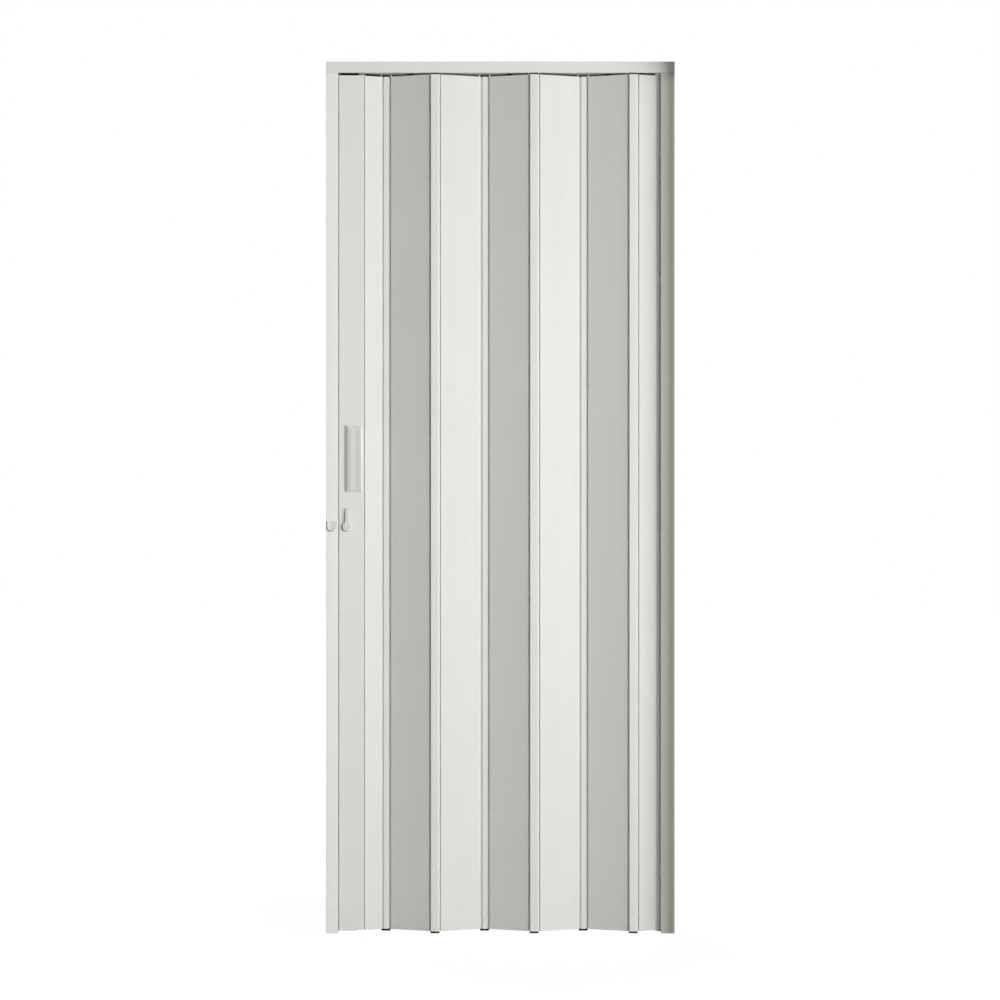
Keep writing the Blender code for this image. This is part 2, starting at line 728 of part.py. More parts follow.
def make_handle(name, axis, low_u, width, front):
    # Extruded along the post, then its ends are sloped down to the face
    half = handle_height / 2
    bm = bmesh.new()
    corners = [bm.verts.new((u, v, -half)) for u, v in handle_section(width)]
    face = bm.faces.new(corners)
    raised = bmesh.ops.extrude_face_region(bm, geom=[face])
    tops = [item for item in raised["geom"] if isinstance(item, bmesh.types.BMVert)]
    bmesh.ops.translate(bm, vec=(0.0, 0.0, handle_height), verts=tops)
    for corner in bm.verts:
        slope = handle_end_slope * corner.co.y / handle_rise
        corner.co.z -= math.copysign(slope, corner.co.z)
    face_y = lead_depth / 2 + seat_gap
    for corner in bm.verts:
        height = corner.co.y
        corner.co.y = -(face_y + height) if front else face_y + height
        corner.co.x += low_u
        corner.co.z += handle_centre_height
    handle = place(name, finish_mesh(name, bm), white_trim, axis)
    return handle


def make_handles(axis):
    front_low = handle_front_inset - handle_front_width
    back_low = -lead_box_back - handle_back_inset - handle_back_width
    front = make_handle("handle_front", axis, front_low, handle_front_width, True)
    back = make_handle("handle_back", axis, back_low, handle_back_width, False)
    face_y = lead_depth / 2 + seat_gap
    head_seat = face_y + screw_head_seat
    names = ("lower", "upper")
    for name, height in zip(names, screw_heights()):
        spot = at(screw_place(), 0.0, height, along_front)
        blind = cylinder_mesh("screw_blind", screw_hole_radius, face_y - cut_overrun,
                              face_y + screw_thread_depth - seat_gap, small_round_steps, spot)
        combine(front, cutter(f"handle_front_bore_{name}", blind, axis), "DIFFERENCE")
        through = turned_mesh("screw_through", [
            (0.0, -face_y + cut_overrun), (screw_hole_radius, -face_y + cut_overrun),
            (screw_hole_radius, -head_seat), (screw_head_hole_radius, -head_seat),
            (screw_head_hole_radius, -face_y - handle_rise - cut_overrun),
            (0.0, -face_y - handle_rise - cut_overrun)], small_round_steps, spot)
        combine(back, cutter(f"handle_back_bore_{name}", through, axis), "DIFFERENCE")
        top = -head_seat - seat_gap
        tip = face_y + screw_thread_depth - 2 * seat_gap
        screw_mesh = turned_mesh(f"handle_screw_{name}", [
            (0.0, tip), (screw_radius, tip - screw_radius), (screw_radius, top), (screw_head_radius, top),
            (screw_head_radius, top - screw_head_height), (0.0, top - screw_head_height)],
            small_round_steps, spot)
        screw = place(f"handle_screw_{name}", screw_mesh, zinc_steel, axis)
        slot = extrusion_mesh("screw_slot", [rectangle(-screw_slot_width / 2, screw_slot_width / 2,
                                                       -screw_head_radius - cut_overrun,
                                                       screw_head_radius + cut_overrun)],
                              top - screw_head_height - cut_overrun,
                              top - screw_head_height + screw_slot_depth, spot)
        combine(screw, cutter(f"handle_screw_slot_{name}", slot, axis), "DIFFERENCE")


def latch_outline():
    # Seen from the front: a round boss with an arm standing up from it, round at its end
    half = latch_arm_width / 2
    join = math.asin(half / latch_boss_radius)
    points = arc(0.0, 0.0, latch_boss_radius, math.pi / 2 + join, 2.5 * math.pi - join, round_steps)
    points += arc(0.0, latch_reach - half, half, 0.0, math.pi, 2 * edge_steps)
    return points


def make_latch(axis):
    # The arm stands clear of the jamb's front face, the boss reaches back to the post
    front = lead_depth / 2 + latch_front
    arm_back = jamb_depth / 2 + latch_arm_back
    mesh = extrusion_mesh("latch_lever", [latch_outline()], arm_back, front, along_front)
    lever = place("latch_lever", mesh, white_trim, axis)
    boss = turned_mesh("latch_boss", [
        (0.0, front - seat_gap), (latch_boss_radius - latch_boss_edge, front - seat_gap),
        (latch_boss_radius - latch_boss_edge, lead_depth / 2 + seat_gap),
        (latch_pin_radius, lead_depth / 2 + seat_gap),
        (latch_pin_radius, lead_depth / 2 - lead_wall - latch_pin_depth),
        (0.0, lead_depth / 2 - lead_wall - latch_pin_depth)], round_steps, along_front)
    combine(lever, cutter("latch_boss", boss, axis), "UNION")


def make_retainer(axis):
    high = lead_depth / 2 - lead_wall - seat_gap
    rings = [circle(0.0, 0.0, radius, round_steps)
             for radius in (retainer_radius, latch_pin_radius + latch_pin_clearance)]
    ring = extrusion_mesh("latch_retainer", rings, high - retainer_thickness, high,
                          at(-latch_inset, 0.0, latch_height, along_front))
    place("latch_retainer", ring, zinc_steel, axis)


def make_keeper():
    # A cup open at its top and right, on a thin plate with a peg through the jamb's front
    back = jamb_depth / 2 + seat_gap
    front = back + keeper_front
    inner = keeper_outer_radius - keeper_wall
    turn = at(keeper_x, 0.0, latch_height, along_front)
    outer = arc(0.0, 0.0, keeper_outer_radius, math.pi, 2 * math.pi, round_steps // 2)
    outer += [(keeper_outer_radius, keeper_rise), (-keeper_outer_radius, keeper_rise)]
    keeper = place("latch_keeper", extrusion_mesh("latch_keeper", [outer], back, front, turn), white_trim)
    pocket = arc(0.0, 0.0, inner, math.pi, keeper_mouth, round_steps // 2)
    floor_v = pocket[-1][1]
    reach = keeper_outer_radius + cut_overrun
    pocket += [(reach, floor_v), (reach, keeper_rise + cut_overrun), (-inner, keeper_rise + cut_overrun)]
    pocket_mesh = extrusion_mesh("keeper_pocket", [pocket], back + keeper_plate, front + cut_overrun, turn)
    combine(keeper, cutter("keeper_pocket", pocket_mesh), "DIFFERENCE")
    peg = cylinder_mesh("keeper_peg", keeper_peg_radius, back - keeper_peg_length, back + keeper_plate / 2,
                        small_round_steps, turn)
    combine(keeper, cutter("keeper_peg", peg), "UNION")


make_track()
make_jambs()
make_end_profile()
make_curtain()
lead_axis = axis_empty("lead_post_axis", lead_pivot_x, 0.0)
make_lead_post(lead_axis)
make_lead_caps(lead_axis)
make_handles(lead_axis)
make_retainer(lead_axis)
latch_axis = axis_empty("latch_axis", latch_x, 0.0, latch_height)
make_latch(latch_axis)
make_keeper()
print("panel span", round(panel_span, 5), "lead pivot", round(lead_pivot_x, 5))
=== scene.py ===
# A white folding door under a top track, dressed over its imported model
import json
import math

import bmesh
import bpy
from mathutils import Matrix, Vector


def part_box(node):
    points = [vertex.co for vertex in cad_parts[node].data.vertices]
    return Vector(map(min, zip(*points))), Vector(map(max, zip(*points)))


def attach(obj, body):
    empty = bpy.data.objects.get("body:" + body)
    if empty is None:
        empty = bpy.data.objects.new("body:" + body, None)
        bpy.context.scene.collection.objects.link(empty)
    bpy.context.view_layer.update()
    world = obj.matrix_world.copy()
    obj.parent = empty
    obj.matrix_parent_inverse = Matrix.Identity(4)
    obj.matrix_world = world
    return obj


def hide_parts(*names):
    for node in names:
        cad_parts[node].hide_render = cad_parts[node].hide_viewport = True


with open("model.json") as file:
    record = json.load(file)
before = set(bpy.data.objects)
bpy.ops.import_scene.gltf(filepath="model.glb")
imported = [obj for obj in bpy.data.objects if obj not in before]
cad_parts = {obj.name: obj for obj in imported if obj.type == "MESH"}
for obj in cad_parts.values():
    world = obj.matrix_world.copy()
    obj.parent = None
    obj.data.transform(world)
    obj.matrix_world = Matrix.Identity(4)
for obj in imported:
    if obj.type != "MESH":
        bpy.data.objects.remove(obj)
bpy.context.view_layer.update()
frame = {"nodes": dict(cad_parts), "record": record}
bodyOfNode = {node: body for body, names in frame["record"]["behaviour"]["bodies"].items() for node in names}
slotOfNode = {row["node"]: row["material_slot"] for row in frame["record"]["subparts"]}
print("frame loaded with", len(bodyOfNode), "nodes")

plainStretch = (1.0, 1.0, 1.0)
pureWhite = (1.0, 1.0, 1.0, 1.0)


def newMaterial(name):
    material = bpy.data.materials.new(name)
    material.use_nodes = True
    tree = material.node_tree
    return material, tree, tree.nodes["Principled BSDF"]


def setInput(tree, socket, value):
    if isinstance(value, bpy.types.NodeSocket):
        tree.links.new(value, socket)
    else:
        socket.default_value = value


def addNode(tree, kind, inputs=None, **settings):
    node = tree.nodes.new(kind)
    for key, value in settings.items():
        setattr(node, key, value)
    for key, value in (inputs or {}).items():
        setInput(tree, node.inputs[key], value)
    return node


def objectSpot(tree):
    return addNode(tree, "ShaderNodeTexCoord").outputs["Object"]


def stretchedSpot(tree, stretch, shift=(0.0, 0.0, 0.0)):
    mapping = addNode(tree, "ShaderNodeMapping", {"Vector": objectSpot(tree), "Scale": stretch, "Location": shift})
    return mapping.outputs["Vector"]


def speckle(tree, spot, scale, detail=2.0, roughness=0.5):
    inputs = {"Vector": spot, "Scale": scale, "Detail": detail, "Roughness": roughness}
    return addNode(tree, "ShaderNodeTexNoise", inputs).outputs["Fac"]


def spread(tree, value, low, high, toLow=0.0, toHigh=1.0):
    inputs = {"Value": value, "From Min": low, "From Max": high, "To Min": toLow, "To Max": toHigh}
    return addNode(tree, "ShaderNodeMapRange", inputs, clamp=True).outputs["Result"]


def compute(tree, operation, first, second=0.0):
    return addNode(tree, "ShaderNodeMath", {0: first, 1: second}, operation=operation).outputs["Value"]


def weighed(tree, first, second, shares):
    return compute(tree, "ADD", compute(tree, "MULTIPLY", first, shares[0]),
                   compute(tree, "MULTIPLY", second, shares[1]))


def blendColour(tree, amount, first, second):
    mix = addNode(tree, "ShaderNodeMix", data_type="RGBA")
    for index, value in ((0, amount), (6, first), (7, second)):
        setInput(tree, mix.inputs[index], value)
    return mix.outputs[2]


def raised(tree, height, strength, distance, under=None):
    bump = addNode(tree, "ShaderNodeBump", {"Height": height, "Strength": strength, "Distance": distance})
    if under is not None:
        tree.links.new(under, bump.inputs["Normal"])
    return bump.outputs["Normal"]


def seenDirectly(tree):
    rays = addNode(tree, "ShaderNodeLightPath")
    mirrored = compute(tree, "MAXIMUM", rays.outputs["Is Glossy Ray"], rays.outputs["Is Transmission Ray"])
    return compute(tree, "MAXIMUM", rays.outputs["Is Camera Ray"], mirrored)


# White extruded PVC: drawn streaks along its length, a faint orange peel, dust low down, wear round the grip
pvc = {
    "colour": (0.720, 0.721, 0.703, 1.0), "colourDeep": (0.702, 0.702, 0.684, 1.0), "specular": 0.18,
    "streakScale": 420.0, "streakStretch": (1.0, 1.0, 0.012), "streakDepth": 0.00006, "wideStreakSize": 9.0,
    "peelScale": 750.0, "peelDepth": 0.00003, "bumpStrength": 0.5, "mottleScale": 5.0,
    "toneShares": (0.55, 0.45), "toneRange": (0.38, 0.62),
    "roughness": (0.68, 0.78), "roughShares": (0.6, 0.4), "roughRange": (0.3, 0.7),
    "dust": (0.650, 0.632, 0.588, 1.0), "dustHeight": 0.16, "dustFade": 2.0, "dustShare": 0.30, "dustRoughens": 0.5,
    "cloudScale": 38.0, "cloudRange": (0.42, 0.70),
    "handled": (-0.345, -0.02, 1.06), "handledReach": (0.05, 0.19), "handledShare": 0.10, "handledPolish": 0.10,
    "handledColour": (0.730, 0.712, 0.672, 1.0), "wearScale": 60.0, "wearRange": (0.45, 0.65),
}


def makePvc(name, settings, shift):
    material, tree, shader = newMaterial(name)
    plain = stretchedSpot(tree, plainStretch, shift)
    drawn = stretchedSpot(tree, settings["streakStretch"], shift)
    streaks = speckle(tree, drawn, settings["streakScale"], 3.0, 0.6)
    wideStreaks = speckle(tree, drawn, settings["streakScale"] / settings["wideStreakSize"], 2.0)
    peel = speckle(tree, plain, settings["peelScale"], 2.0)
    mottle = speckle(tree, plain, settings["mottleScale"], 3.0)
    tone = spread(tree, weighed(tree, wideStreaks, mottle, settings["toneShares"]), *settings["toneRange"])
    colour = blendColour(tree, tone, settings["colour"], settings["colourDeep"])
    # Dust that rises from the floor in uneven clouds
    place = objectSpot(tree)
    height = addNode(tree, "ShaderNodeSeparateXYZ", {"Vector": place}).outputs["Z"]
    low = compute(tree, "POWER", spread(tree, height, 0.0, settings["dustHeight"], 1.0, 0.0), settings["dustFade"])
    clouds = spread(tree, speckle(tree, plain, settings["cloudScale"], 5.0, 0.65), *settings["cloudRange"])
    dusty = compute(tree, "MULTIPLY", compute(tree, "MULTIPLY", low, clouds), settings["dustShare"])
    colour = blendColour(tree, dusty, colour, settings["dust"])
    # A little wear where a hand takes the door
    gap = addNode(tree, "ShaderNodeVectorMath", {0: place, 1: settings["handled"]}, operation="DISTANCE")
    near = spread(tree, gap.outputs["Value"], *settings["handledReach"], 1.0, 0.0)
    wear = spread(tree, speckle(tree, plain, settings["wearScale"], 4.0), *settings["wearRange"])
    touched = compute(tree, "MULTIPLY", near, wear)
    worn = compute(tree, "MULTIPLY", touched, settings["handledShare"])
    colour = blendColour(tree, worn, colour, settings["handledColour"])
    tree.links.new(colour, shader.inputs["Base Color"])
    rough = weighed(tree, streaks, mottle, settings["roughShares"])
    rough = spread(tree, rough, *settings["roughRange"], *settings["roughness"])
    rough = compute(tree, "SUBTRACT", rough, compute(tree, "MULTIPLY", touched, settings["handledPolish"]))
    rough = compute(tree, "ADD", rough, compute(tree, "MULTIPLY", dusty, settings["dustRoughens"]))
    tree.links.new(rough, shader.inputs["Roughness"])
    normal = raised(tree, streaks, settings["bumpStrength"], settings["streakDepth"])
    normal = raised(tree, peel, settings["bumpStrength"], settings["peelDepth"], normal)
    tree.links.new(normal, shader.inputs["Normal"])
    shader.inputs["Specular IOR Level"].default_value = settings["specular"]
    return material


# The posts are a shade lighter than the panels and a little green
post = {
    **pvc, "colour": (0.780, 0.787, 0.755, 1.0), "colourDeep": (0.763, 0.768, 0.736, 1.0), "specular": 0.45,
    "streakScale": 500.0, "roughness": (0.56, 0.66),
}

# The hinge posts are a touch less bright than the lead post
hinge = {
    **post, "colour": (0.764, 0.770, 0.738, 1.0), "colourDeep": (0.747, 0.752, 0.720, 1.0), "specular": 0.35,
}

# Moulded and extruded trim: the same white, a shade cleaner, with a finer surface
trim = {
    **pvc, "colour": (0.772, 0.776, 0.755, 1.0), "colourDeep": (0.755, 0.757, 0.736, 1.0), "specular": 0.5,
    "streakScale": 560.0, "peelScale": 1100.0, "roughness": (0.44, 0.54),
}

# The strike jamb and the end profile get the whitest colour. On the end profile, set back in shade in the jamb's
# mouth, its lift above the panels' white is painted light
jamb = {**trim, "colour": (0.852, 0.853, 0.838, 1.0), "colourDeep": (0.835, 0.835, 0.820, 1.0)}

# The grip and the latch are a warmer, less bright white than the trim. On the grip this is partly its own colour
# and partly painted shade standing in for the slope shade of a taller grip. On the latch it is painted shade for
# the shade inside the keeper's cup, put on the lever too. The wall jamb's darker, yellower white is painted shade
# for the shade over the door's right end
grip = {
    **trim, "colour": (0.706, 0.700, 0.678, 1.0), "colourDeep": (0.690, 0.682, 0.660, 1.0), "specular": 0.35,
}
latch = {**grip, "colour": (0.672, 0.672, 0.658, 1.0), "colourDeep": (0.656, 0.655, 0.641, 1.0)}
jambPaintedShade = {**trim, "colour": (0.577, 0.579, 0.526, 1.0), "colourDeep": (0.563, 0.564, 0.512, 1.0)}

# Black moulded plastic: fine grain, scuffed grey on its rubbed spots
black = {
    "colour": (0.006, 0.006, 0.0065, 1.0), "rubbed": (0.024, 0.0235, 0.0225, 1.0), "specular": 0.14,
    "grainScale": 1500.0, "grainDepth": 0.00012, "grainRange": (0.3, 0.7), "bumpStrength": 0.6,
    "rubScale": 85.0, "rubRange": (0.56, 0.72), "roughness": (0.52, 0.70),
}


def makeBlack(settings):
    material, tree, shader = newMaterial("grainedBlackPlastic")
    plain = stretchedSpot(tree, plainStretch)
    grain = speckle(tree, plain, settings["grainScale"], 3.0, 0.6)
    rubs = spread(tree, speckle(tree, plain, settings["rubScale"], 6.0, 0.7), *settings["rubRange"])
    colour = blendColour(tree, rubs, settings["colour"], settings["rubbed"])
    rough = spread(tree, grain, *settings["grainRange"], *settings["roughness"])
    tree.links.new(colour, shader.inputs["Base Color"])
    tree.links.new(rough, shader.inputs["Roughness"])
    tree.links.new(raised(tree, grain, settings["bumpStrength"], settings["grainDepth"]), shader.inputs["Normal"])
    shader.inputs["Specular IOR Level"].default_value = settings["specular"]
    return material


# Zinc plated steel: bluish grey, turned marks, dull spots
zinc = {
    "colour": (0.62, 0.63, 0.64, 1.0), "dull": (0.44, 0.44, 0.43, 1.0), "spotScale": 420.0, "spotRange": (0.40, 0.68),
    "markScale": 2600.0, "markStretch": (1.0, 0.06, 0.06), "markDepth": 0.00005, "bumpStrength": 0.4,
    "roughness": (0.26, 0.46),
}


def makeZinc(settings):
    material, tree, shader = newMaterial("zincPlatedSteel")
    plain = stretchedSpot(tree, plainStretch)
    turned = stretchedSpot(tree, settings["markStretch"])
    spots = spread(tree, speckle(tree, plain, settings["spotScale"], 4.0), *settings["spotRange"])
    marks = speckle(tree, turned, settings["markScale"], 2.0)
    colour = blendColour(tree, spots, settings["colour"], settings["dull"])
    rough = spread(tree, spots, 0.0, 1.0, *settings["roughness"])
    tree.links.new(colour, shader.inputs["Base Color"])
    tree.links.new(rough, shader.inputs["Roughness"])
    tree.links.new(raised(tree, marks, settings["bumpStrength"], settings["markDepth"]), shader.inputs["Normal"])
    shader.inputs["Metallic"].default_value = 1.0
    return material


# Woven pile strip: upright tufts in close rows, with dust caught between them. The strip is a real seal; its dark
# grey also stands in for the shade under the track (painted shade)
pile = {
    "colour": (0.120, 0.119, 0.112, 1.0), "shade": (0.035, 0.035, 0.033, 1.0), "dust": (0.260, 0.250, 0.230, 1.0),
    "tuftScale": 900.0, "tuftStretch": (1.0, 1.0, 0.12), "tuftDepth": 0.00040, "bumpStrength": 0.8,
    "rowWidth": 0.0009, "rowWander": 1.6, "weaveShares": (0.7, 0.3), "weaveRange": (0.34, 0.62),
    "dustScale": 140.0, "dustRange": (0.60, 0.74), "dustShare": 0.5,
    "roughness": (0.85, 0.98), "roughRange": (0.3, 0.7), "sheen": 0.25,
}


def makePile(settings):
    material, tree, shader = newMaterial("wovenGreyPile")
    upright = stretchedSpot(tree, settings["tuftStretch"])
    plain = stretchedSpot(tree, plainStretch)
    tufts = speckle(tree, upright, settings["tuftScale"], 3.0, 0.65)
    rowInputs = {
        "Vector": upright, "Scale": 1.0 / settings["rowWidth"] / 2.0, "Distortion": settings["rowWander"],
        "Detail": 2.0,
    }
    rows = addNode(tree, "ShaderNodeTexWave", rowInputs, bands_direction="X").outputs["Fac"]
    weave = weighed(tree, tufts, rows, settings["weaveShares"])
    colour = blendColour(tree, spread(tree, weave, *settings["weaveRange"]), settings["shade"], settings["colour"])
    fluff = speckle(tree, plain, settings["dustScale"], 5.0, 0.7)
    caught = spread(tree, fluff, *settings["dustRange"], 0.0, settings["dustShare"])
    rough = spread(tree, weave, *settings["roughRange"], *settings["roughness"])
    tree.links.new(blendColour(tree, caught, colour, settings["dust"]), shader.inputs["Base Color"])
    tree.links.new(rough, shader.inputs["Roughness"])
    tree.links.new(raised(tree, weave, settings["bumpStrength"], settings["tuftDepth"]), shader.inputs["Normal"])
    shader.inputs["Sheen Weight"].default_value = settings["sheen"]
    return material


# A finish for each material slot, and for the nodes whose names start with a key of their own
finishes = {
    "white_pvc": makePvc("drawnWhitePvc", pvc, (0.0, 0.0, 0.0)),
    "white_trim": makePvc("cleanWhiteTrim", trim, (3.1, 1.7, 0.4)),
    "hinge_post": makePvc("lightPostPvc", hinge, (1.3, 0.6, 2.2)),
    # The grip's finish is partly painted shade: darker for the slope shade of a taller grip
    "handle_front": makePvc("warmGripPlastic", grip, (0.7, 3.3, 1.9)),
    # The latch's finish is painted shade: darker for the shade inside the keeper's cup
    "latch_lever": makePvc("latchPlastic", latch, (2.9, 1.3, 0.2)),
    "latch_keeper": makePvc("keeperPlastic", latch, (0.9, 2.8, 4.1)),
    "lead_post": makePvc("lightLeadPvc", post, (5.2, 2.6, 1.1)),
    "strike_jamb": makePvc("whitestTrim", jamb, (2.4, 4.1, 0.9)),
    # Painted light: the end profile's extra whiteness lifts it where it sits in shade
    "end_profile": makePvc("whitestProfilePaintedLight", jamb, (4.4, 0.1, 2.9)),
    # The wall jamb's finish is painted shade: darker and yellower so that the door's right end reads as shaded
    "wall_jamb": makePvc("jambPaintedShadeTrim", jambPaintedShade, (1.9, 2.1, 3.6)),
    "black_plastic": makeBlack(black),
    "zinc_steel": makeZinc(zinc),
    # The pile's dark grey is partly painted shade for the shade under the track
    "grey_pile": makePile(pile),
}
print("materials made:", len(finishes))


def placeMesh(name, bm):
    mesh = bpy.data.meshes.new(name)
    bm.to_mesh(mesh)
    bm.free()
    piece = bpy.data.objects.new(name, mesh)
    bpy.context.scene.collection.objects.link(piece)
    return piece


def addPiece(name, bm, node, smoothAngle=50.0):
    piece = placeMesh(name, bm)
    piece.data.shade_smooth()
    piece.data.set_sharp_from_angle(angle=math.radians(smoothAngle))
    family = next((key for key in finishes if node.startswith(key)), slotOfNode[node])
    piece.data.materials.append(finishes[family])
    weighted = piece.modifiers.new("evenNormals", "WEIGHTED_NORMAL")
    weighted.keep_sharp = True
    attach(piece, bodyOfNode[node])
    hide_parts(node)
    return piece


# Extrusions and mouldings with their arrises broken: radius in metres, segments, and the sharpest turn left alone
softEdges = {
    "top_track": (0.00040, 2, 50.0), "strike_jamb": (0.00030, 2, 50.0), "wall_jamb": (0.00030, 2, 50.0),
    "end_profile": (0.00012, 1, 50.0), "panel": (0.00012, 1, 50.0), "hinge_post": (0.00010, 1, 50.0),
    "lead_post": (0.00014, 1, 50.0), "lead_post_foot": (0.00020, 2, 50.0), "lead_hanger": (0.00020, 2, 50.0),
    "latch_lever": (0.00060, 3, 40.0), "latch_keeper": (0.00050, 3, 40.0), "handle_back": (0.00050, 3, 30.0),
    "hinge_cap": (0.00025, 2, 50.0), "panel_plug": (0.00020, 2, 50.0), "runner_insert": (0.00020, 2, 50.0),
    "runner": (0.00012, 1, 50.0), "lead_runner": (0.00012, 1, 50.0), "handle_screw": (0.00020, 2, 50.0),
    "latch_retainer": (0.00015, 2, 50.0), "top_seal": (0.00015, 2, 50.0),
}
cleanup = {"weld": 0.00001, "flatTurn": 0.5, "mostCorners": 4}

# The latch lever's arm thins out above its boss
leverArm = {"from": 0.9690, "front": -0.0197, "back": -0.0186}

# Draft on the latch mouldings: they narrow about this centre from a depth forward, in height too below a reach
drafts = {
    "latch_lever": {"x": -0.3603, "z": 0.9565, "kept": 0.93, "from": -0.0190, "reach": 0.0125},
    "latch_keeper": {"x": -0.3965, "z": 0.9565, "kept": 0.85, "from": -0.0190, "reach": 0.0001},
}

# Black top plates that come as near to the track as the pile strips do
raisedTops = {"nodes": ("panel_plug", "lead_hanger"), "from": 2.0220, "to": 2.0232}

# The first panel's edge reaches further towards the lead post, in the plane of its own face
panelEdge = {"low": -0.3187, "high": -0.3175, "front": -0.0005, "shift": (-0.00140, -0.00037, 0.0)}


def thinArm(bm):
    for vert in bm.verts:
        if vert.co.z > leverArm["from"]:
            vert.co.y = leverArm["front"] if vert.co.y < leverArm["front"] else leverArm["back"]


def extendEdge(bm):
    for vert in bm.verts:
        if panelEdge["low"] < vert.co.x < panelEdge["high"] and vert.co.y < panelEdge["front"]:
            vert.co += Vector(panelEdge["shift"])


def addDraft(bm, draft):
    for vert in bm.verts:
        if vert.co.y < draft["from"]:
            vert.co.x = draft["x"] + (vert.co.x - draft["x"]) * draft["kept"]
            if vert.co.z < draft["z"] + draft["reach"]:
                vert.co.z = draft["z"] + (vert.co.z - draft["z"]) * draft["kept"]


def raiseTop(bm):
    for vert in bm.verts:
        if vert.co.z > raisedTops["from"]:
            vert.co.z = raisedTops["to"]


def softened(node):
    family = max((key for key in softEdges if node.startswith(key)), key=len)
    radius, segments, sharpest = softEdges[family]
    bm = bmesh.new()
    bm.from_mesh(frame["nodes"][node].data)
    if node == "latch_lever":
        thinArm(bm)
    if node == "panel_1":
        extendEdge(bm)
    if node in drafts:
        addDraft(bm, drafts[node])
    if node.startswith(raisedTops["nodes"]):
        raiseTop(bm)
    bmesh.ops.remove_doubles(bm, verts=bm.verts, dist=cleanup["weld"])
    flat = math.radians(cleanup["flatTurn"])
    bmesh.ops.dissolve_limit(bm, angle_limit=flat, verts=bm.verts, edges=bm.edges)
    bmesh.ops.recalc_face_normals(bm, faces=bm.faces)
    turn = math.radians(sharpest)
    arrises = [edge for edge in bm.edges if edge.is_manifold and edge.calc_face_angle_signed() > turn]
    bmesh.ops.bevel(bm, geom=arrises, offset=radius, offset_type="OFFSET", affect="EDGES", segments=segments,
                    profile=0.5, material=-1, clamp_overlap=True)
    manySided = [face for face in bm.faces if len(face.verts) > cleanup["mostCorners"]]
    bmesh.ops.triangulate(bm, faces=manySided)
    return addPiece(f"{node}_finished", bm, node)


# Front handle: a thin moulded shell, steep up its left side, then easy with a slight dish to its high right edge.
# Its ends rise steeply at the left and easily at the right: the pairs go from left to right
gripShell = {
    "acrossSteps": 44, "alongSteps": 90, "wall": 0.0015, "rise": 0.0056, "wider": 0.0017, "smoothAngle": 60.0,
    "endRun": (0.0050, 0.0150), "endShare": (0.30, 0.12),
    "rounding": 0.03, "roundingSteps": (-1.0, -0.5, 0.0, 0.5, 1.0),
    "section": ((0.0, 0.02), (0.15, 0.66), (0.20, 0.76), (0.25, 0.825), (0.31, 0.87), (0.372, 0.90),
                (0.434, 0.91), (0.50, 0.89), (0.62, 0.85), (0.682, 0.86), (0.744, 0.895), (0.806, 0.935),
                (0.868, 0.975), (0.93, 1.0), (1.0, 0.99)),
}


def sectionHeight(across):
    points = gripShell["section"]
    for (low, lowRise), (high, highRise) in zip(points[:-1], points[1:]):
        if across <= high:
            return lowRise + (highRise - lowRise) * (across - low) / (high - low)
    return points[-1][1]


def gripLift(across, fromEnd):
    reach = min(gripShell["rounding"], across, 1.0 - across)
    steps = gripShell["roundingSteps"]
    lift = sum(sectionHeight(across + step * reach) for step in steps) / len(steps)
    run, share = (left + (right - left) * across for left, right in (gripShell["endRun"], gripShell["endShare"]))
    return lift * (share + (1.0 - share) * math.sin(min(1.0, fromEnd / run) * math.pi / 2))


def makeGrip(node):
    low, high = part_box(node)
    width, height = high[0] + gripShell["wider"] - low[0], high[2] - low[2]
    seat = high[1]
    bm = bmesh.new()
    bmesh.ops.create_grid(bm, x_segments=gripShell["acrossSteps"], y_segments=gripShell["alongSteps"], size=0.5)
    for vert in bm.verts:
        across, along = vert.co.x + 0.5, vert.co.y + 0.5
        along = 0.5 - 0.5 * math.cos(math.pi * along)  # closer rows towards both ends
        lift = gripLift(across, min(along, 1.0 - along) * height)
        vert.co = Vector((low[0] + across * width, seat - gripShell["rise"] * lift, low[2] + along * height))
    bmesh.ops.recalc_face_normals(bm, faces=bm.faces)
    if sum(face.normal.y for face in bm.faces) > 0:
        bmesh.ops.reverse_faces(bm, faces=bm.faces)
    rim = bmesh.ops.extrude_edge_only(bm, edges=[edge for edge in bm.edges if edge.is_boundary])
    for item in rim["geom"]:
        if isinstance(item, bmesh.types.BMVert):
            item.co.y = seat
    bmesh.ops.recalc_face_normals(bm, faces=bm.faces)
    bmesh.ops.solidify(bm, geom=bm.faces[:], thickness=gripShell["wall"])
    bmesh.ops.recalc_face_normals(bm, faces=bm.faces)
    return addPiece(f"{node}_finished", bm, node, gripShell["smoothAngle"])


for node in bodyOfNode:
    if node == "handle_front":
        makeGrip(node)
    else:
        softened(node)
print("pieces finished:", len(bodyOfNode))


view = {"place": (0.0, -5.017, 1.019), "lens": 76.56, "sensor": 36.0, "shift": -0.0003}
camera = bpy.data.objects.new("viewCamera", bpy.data.cameras.new("viewCamera"))
camera.data.sensor_width = view["sensor"]
camera.data.lens = view["lens"]
camera.data.shift_x = view["shift"]
camera.location = view["place"]
camera.rotation_euler = (math.pi / 2, 0.0, 0.0)
bpy.context.scene.collection.objects.link(camera)
bpy.context.scene.camera = camera

# To the camera the floor is white, apart from a share of matt white near the door that takes the door's shadow
ground = {
    "half": 14.0, "colour": (0.39, 0.39, 0.38, 1.0), "roughness": 0.9, "glow": 1.07,
    "shadowShare": 0.12, "shadowReach": (0.5, 1.8),
}


